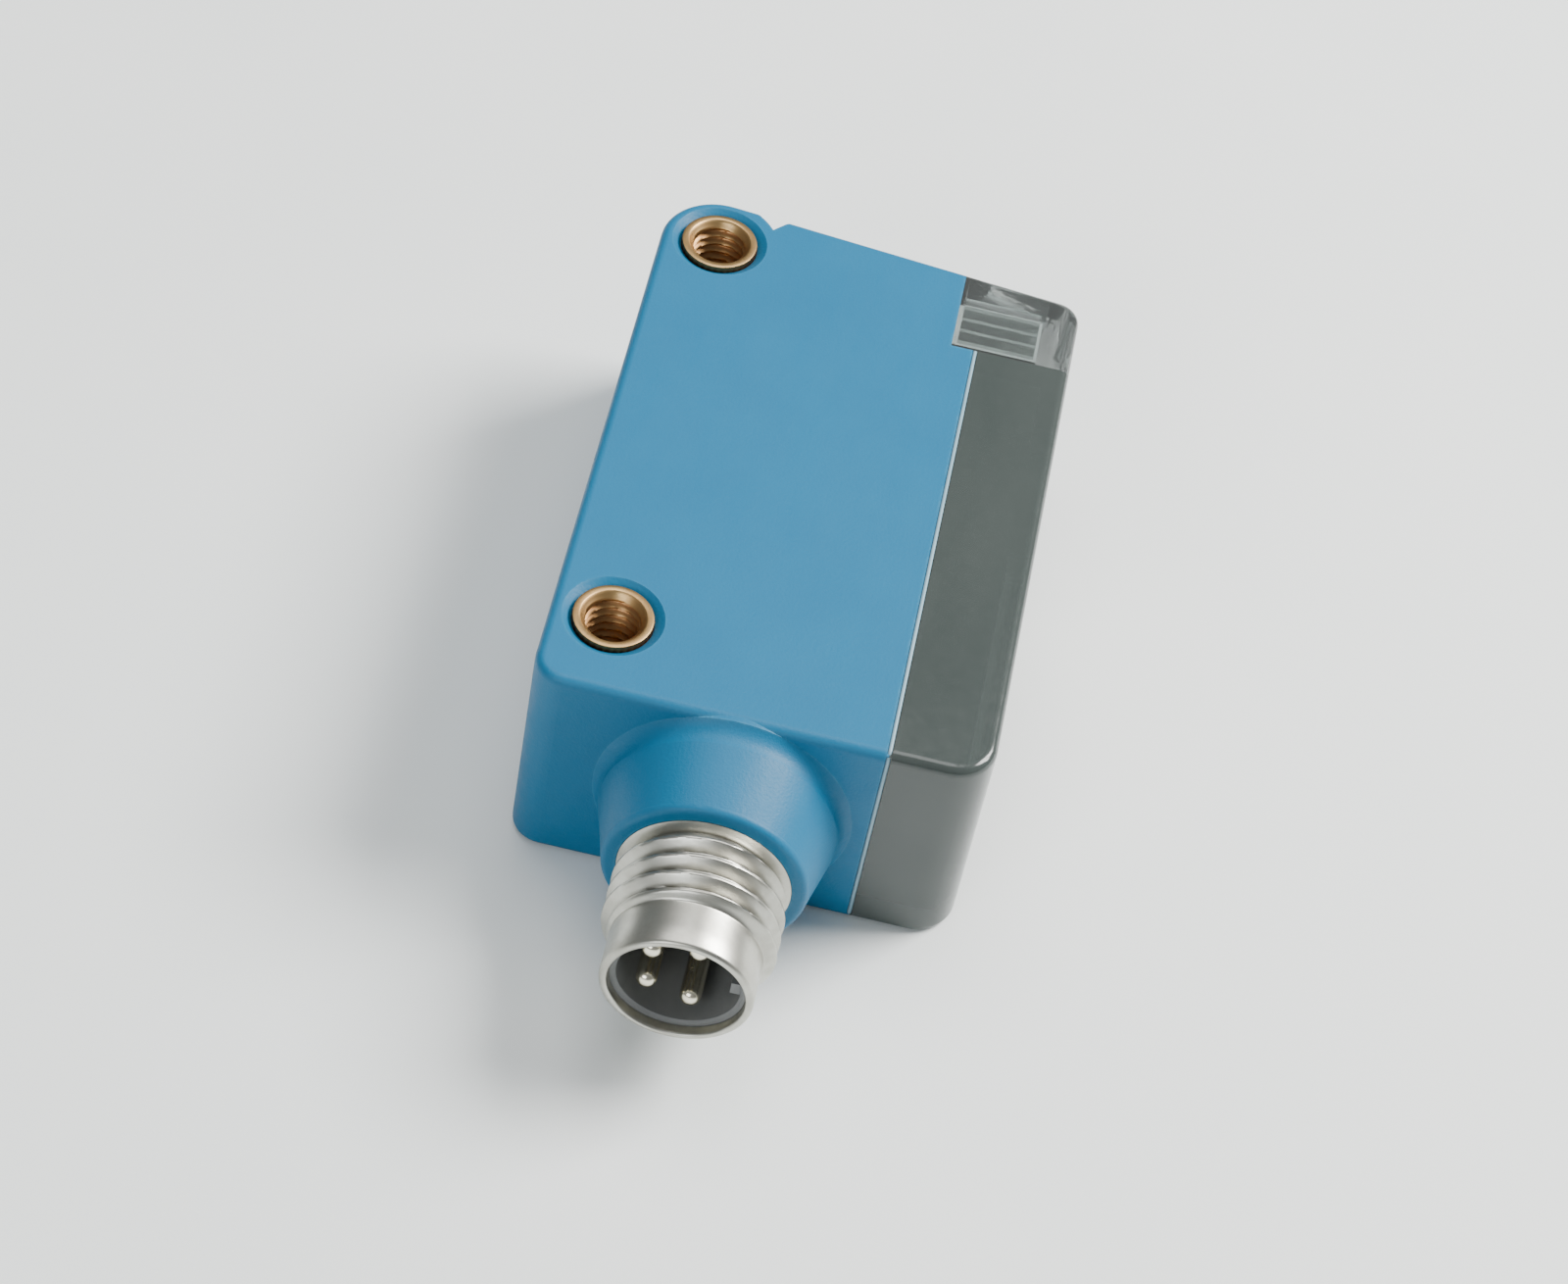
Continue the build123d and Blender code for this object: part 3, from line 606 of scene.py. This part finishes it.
def window_ribs():
    """Clear prisms under both side walls of the window, which spread the lamps' light."""
    low_c, high_c = (c / MM for c in (WINDOW_LOW, WINDOW_HIGH))
    verts, faces = [], []
    thick = high_c.z
    for root, drop in ((RIB_TOP, -RIB_DROP), (thick - RIB_TOP, RIB_DROP)):
        for number in range(RIB_COUNT):
            y = low_c.y + 1.15 + RIB_PITCH * number
            base = len(verts)
            for x in (low_c.x + 0.25, high_c.x - 1.85):
                verts += [Vector((x, y, root)) * MM, Vector((x, y + RIB_PITCH, root)) * MM,
                          Vector((x, y + RIB_PITCH * RIB_PEAK, root + drop)) * MM]
            faces += [(base, base + 1, base + 2), (base + 5, base + 4, base + 3)]
            for edge in range(3):
                nxt = (edge + 1) % 3
                faces.append((base + edge, base + 3 + edge, base + 3 + nxt, base + nxt))
    ribs = finish_mesh("window_ribs", verts, faces, CLEAR, 20.0)
    return place(ribs, "sensor", "clear_plastic")


window_ribs()


# ---------------------------------------------------------------- teach button

KEY = mid("teach_button")
key_low, key_high = (c.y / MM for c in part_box("teach_button"))
key_rows = [(AXIS_R, key_low), (2.44, key_low), (2.49, key_low + 0.05), (2.49, key_low + 0.58),
            (2.44, key_low + 0.64), (1.95, key_low + 0.65), (1.89, key_low + 0.70),
            (1.89, key_high - 0.30), (1.86, key_high - 0.16), (1.76, key_high - 0.06),
            (1.60, key_high - 0.01), (1.45, key_high - 0.01), (1.30, key_high - 0.05),
            (1.05, key_high - 0.16), (0.75, key_high - 0.23), (0.46, key_high - 0.26),
            (0.40, key_high - 0.24), (0.34, key_high - 0.16), (0.22, key_high - 0.13),
            (AXIS_R, key_high - 0.12)]
place(lathe("teach_key", "Y", KEY, key_rows, BUTTON, 96), "button", "button_plastic",
      "teach_button")


# ---------------------------------------------------------------- winding and capacitor

COIL = mid("transformer_coil")
coil_low, coil_high = (c.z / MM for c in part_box("transformer_coil"))


COIL_BORE_R, COIL_LAYER_R, COIL_TURNS = 1.12, 1.9, 13


def winding():
    """Coil with its outer layer of round wire running as a helix."""
    rows = [(COIL_BORE_R, coil_low), (COIL_LAYER_R, coil_low)]
    steps = COIL_TURNS * 10
    for number in range(steps + 1):
        along = coil_low + 0.03 + (coil_high - coil_low - 0.06) * number / steps

        def wire(angle, along=along):
            part = (along - coil_low) / (coil_high - coil_low) * COIL_TURNS + angle / TURN
            return 1.93 + 0.11 * abs(math.sin(part * math.pi)), along

        rows.append(wire)
    rows += [(COIL_LAYER_R, coil_high), (COIL_BORE_R, coil_high)]
    return lathe("winding", "Z", COIL, rows, COPPER, 72, closed=True, sharp=60.0)


place(winding(), "sensor", "copper", "transformer_coil")


# ---------------------------------------------------------------- board detail

# SOLDER and PAD also take metal's default painted shade in their corners.
SOLDER = metal("solder", (0.66, 0.67, 0.68), (0.52, 0.53, 0.55), (0.22, 0.4), scratches=0.03)
PAD = metal("pad_gilt", (0.80, 0.60, 0.30), (0.70, 0.50, 0.24), (0.25, 0.4), scratches=0.04)
TRACK = moulded("track_resist", (0.035, 0.235, 0.095), (0.045, 0.270, 0.110), (0.25, 0.38), 0.1)
BOARD_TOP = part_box("main_board")[1].z / MM
SOLDER_MAX_R, SOLDER_SHARE = 0.56, 0.42
TRACK_WIDTH, TRACK_HEIGHT, CHIP_LEGS, LEG_STEP, LEAD_STEP = 0.16, 0.03, 8, 0.26, 0.35
PAD_COUNT, PAD_PITCH, PAD_FIRST_Y, PAD_INSET, PAD_HEIGHT = 5, 2.0, -2.5, 0.6, 0.035


def foot(node):
    """Centre of the lowest part of a node, in mm."""
    points = [v.co for v in NODES[node].data.vertices]
    low = min(p.z for p in points)
    lowest = [p for p in points if p.z < low + 0.05 * MM]
    return sum(lowest, Vector()) / len(lowest) / MM


def blob(name, x, y, radius, height, mat):
    """Concave cone of solder standing on the board."""
    rows = [(radius, BOARD_TOP), (radius * 0.98, BOARD_TOP + height * 0.08)]
    for step in range(1, 8):
        part = step / 7.0
        rows.append((radius * (0.98 - 0.5 * part ** 0.6),
                     BOARD_TOP + height * (0.08 + 0.92 * part)))
    rows += [(AXIS_R, BOARD_TOP + height * 1.02), (AXIS_R, BOARD_TOP)]
    obj = lathe(name, "Z", Vector((x * MM, y * MM, 0.0)), rows, mat, 32)
    return place(obj, "sensor", "can_aluminium")


WIRE_NODES = ("lead_wire_1", "lead_wire_2", "lead_wire_3", "lead_wire_4", "sound_wire_1",
              "sound_wire_2")
FEET = {node: foot(node) for node in WIRE_NODES}

for node, spot in FEET.items():
    nearest = min((spot - other).length for name, other in FEET.items() if name != node)
    size = min(SOLDER_MAX_R, SOLDER_SHARE * nearest)
    blob("solder_" + node, spot.x, spot.y, size, size * 0.75, SOLDER)

for number in PIN_NUMBERS:
    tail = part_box(f"contact_pin_{number}")[1].y / MM
    rows = [(0.39, tail - 0.75), (0.43, tail - 0.65), (0.47, tail - 0.35), (0.46, tail - 0.05),
            (0.42, tail + 0.10), (0.37, tail + 0.16), (0.37, tail + 0.05), (0.385, tail - 0.3)]
    joint = lathe(f"solder_pin_{number}", "Y", mid(f"contact_pin_{number}"), rows, SOLDER, 40,
                  closed=True)
    place(joint, "sensor", "can_aluminium")


def strip(points, width, low, high):
    """Vertices and faces of a flat strip along a line in the XY plane, in mm."""
    flat = [Vector((x, y, 0.0)) for x, y in points]
    verts, faces = [], []
    for number, point in enumerate(flat):
        before = flat[max(number - 1, 0)]
        after = flat[min(number + 1, len(flat) - 1)]
        along = (after - before).normalized()
        side = Vector((-along.y, along.x, 0.0)) * width / 2.0
        for offset, z in ((side, low), (-side, low), (-side * 0.8, high), (side * 0.8, high)):
            spot = point + offset
            verts.append(Vector((spot.x, spot.y, z)) * MM)
    for number in range(len(flat) - 1):
        base = number * 4
        for edge in range(4):
            nxt = (edge + 1) % 4
            faces.append((base + edge, base + nxt, base + 4 + nxt, base + 4 + edge))
    end = (len(flat) - 1) * 4
    faces += [(3, 2, 1, 0), (end, end + 1, end + 2, end + 3)]
    return verts, faces


def tracks():
    """Raised copper tracks under the resist, fanned out from the controller."""
    verts, faces = [], []
    low_c, high_c = (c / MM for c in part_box("microcontroller"))
    pitch = (high_c.y - low_c.y) / CHIP_LEGS
    routes = []
    for leg in range(CHIP_LEGS):
        y = low_c.y + pitch * (leg + 0.5)
        step = LEG_STEP * leg
        routes.append(((high_c.x - 0.1, y), (high_c.x + 0.3 + step, y),
                       (high_c.x + 0.5 + step, y - 0.2), (high_c.x + 0.5 + step, -4.1 - step),
                       (high_c.x + 0.7 + step, -4.3 - step), (9.3 + step / 2, -4.3 - step)))
        left = low_c.x - 0.25 - step * 0.35
        routes.append(((low_c.x + 0.1, y), (left + 0.15, y), (left, y + 0.15), (left, 2.3),
                       (left + 0.2, 2.5), (3.4, 2.5 + step / 8)))
    for number in PIN_NUMBERS:
        spot = FEET[f"lead_wire_{number}"]
        lift = LEAD_STEP * number
        routes.append(((spot.x, spot.y), (spot.x, -9.3 + lift), (spot.x + 0.3, -9.0 + lift),
                       (spot.x + 1.6, -9.0 + lift)))
    for route in routes:
        made, quads = strip(route, TRACK_WIDTH, BOARD_TOP, BOARD_TOP + TRACK_HEIGHT)
        faces += [tuple(index + len(verts) for index in quad) for quad in quads]
        verts += made
    return finish_mesh("board_tracks", verts, faces, TRACK, 30.0)


place(tracks(), "sensor", "board")


def ring_pads():
    """Gilt ring pads of the plated-through holes along the board's rear edge."""
    low_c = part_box("main_board")[0] / MM
    for number in range(PAD_COUNT):
        rows = [(0.18, BOARD_TOP), (0.18, BOARD_TOP + PAD_HEIGHT), (0.35, BOARD_TOP + PAD_HEIGHT),
                (0.38, BOARD_TOP)]
        spot = Vector(((low_c.x + PAD_INSET) * MM, (PAD_FIRST_Y + PAD_PITCH * number) * MM, 0.0))
        pad = lathe(f"ring_pad_{number + 1}", "Z", spot, rows, PAD, 32, closed=True)
        place(pad, "sensor", "brass")


ring_pads()


# ---------------------------------------------------------------- stage, light and camera

FLOOR_HALF = 2.5
FLOOR_YZ = ((-2.0, 0.0), (1.2, 0.0), (1.5, 0.05), (1.7, 0.2), (1.8, 0.6), (1.8, 2.0))


def floor():
    """Plain pale floor that curves up far behind the object."""
    verts, faces = [], []
    for y, z in FLOOR_YZ:
        verts += [(-FLOOR_HALF, y, z), (FLOOR_HALF, y, z)]
    for row in range(len(FLOOR_YZ) - 1):
        faces.append((2 * row, 2 * row + 1, 2 * row + 3, 2 * row + 2))
    mat, tree, shader, coords = new_material("floor_pale")
    cloud = noise(tree, coords, 60.0, 4.0)
    tree.links.new(blended(tree, ranged(tree, cloud, 0.0, 1.0), (0.84, 0.875, 0.865),
                           (0.865, 0.89, 0.88)), shader.inputs["Base Color"])
    tree.links.new(ranged(tree, cloud, 0.5, 0.62), shader.inputs["Roughness"])
    obj = finish_mesh("floor", verts, faces, mat)


def area_light(name, position, target, size, power, colour):
    """Soft rectangular light aimed at a point."""
    data = bpy.data.lights.new(name, "AREA")
    data.shape = "RECTANGLE"
    data.size, data.size_y = size
    data.energy = power
    data.color = colour
    lamp = bpy.data.objects.new(name, data)
    bpy.context.scene.collection.objects.link(lamp)
    lamp.location = position
    lamp.rotation_mode = "QUATERNION"
    lamp.rotation_quaternion = (Vector(target) - Vector(position)).to_track_quat("-Z", "Y")


floor()
centre = (cad_lo + cad_hi) / 2
area_light("key", (0.26, 0.13, 0.30), centre, (0.20, 0.20), 4.0, (1.0, 0.99, 0.97))
area_light("fill", (-0.12, -0.34, 0.20), centre, (0.22, 0.16), 0.6, (0.95, 0.98, 1.0))
area_light("top", (-0.05, 0.10, 0.45), centre, (0.30, 0.30), 1.1, (1.0, 1.0, 1.0))

world = bpy.data.worlds.new("studio")
bpy.context.scene.world = world
world.use_nodes = True
world.node_tree.nodes["Background"].inputs["Color"].default_value = (0.86, 0.90, 0.92, 1.0)
world.node_tree.nodes["Background"].inputs["Strength"].default_value = 0.26

camera_data = bpy.data.cameras.new("camera")
camera_data.sensor_width = 36.0
camera_data.lens = 90.0
camera_data.clip_start = 0.005
camera_data.clip_end = 10.0
camera = bpy.data.objects.new("camera", camera_data)
bpy.context.scene.collection.objects.link(camera)
bpy.context.scene.camera = camera
YAW, ELEVATION, ROLL, DISTANCE = math.radians(-1.0), math.radians(48.6), math.radians(12.3), 0.185
look_at = Vector((centre.x, centre.y, centre.z * 0.9))
forward = Vector((math.sin(YAW) * math.cos(ELEVATION), math.cos(YAW) * math.cos(ELEVATION),
                  -math.sin(ELEVATION)))
level_right = Vector((math.cos(YAW), -math.sin(YAW), 0.0))
level_up = level_right.cross(forward)
right = level_right * math.cos(ROLL) + level_up * math.sin(ROLL)
up = level_up * math.cos(ROLL) - level_right * math.sin(ROLL)
turn = Matrix((right, up, -forward)).transposed()
camera.rotation_mode = "QUATERNION"
camera.rotation_quaternion = turn.to_quaternion()
camera.location = look_at - forward * DISTANCE

bpy.context.view_layer.update()
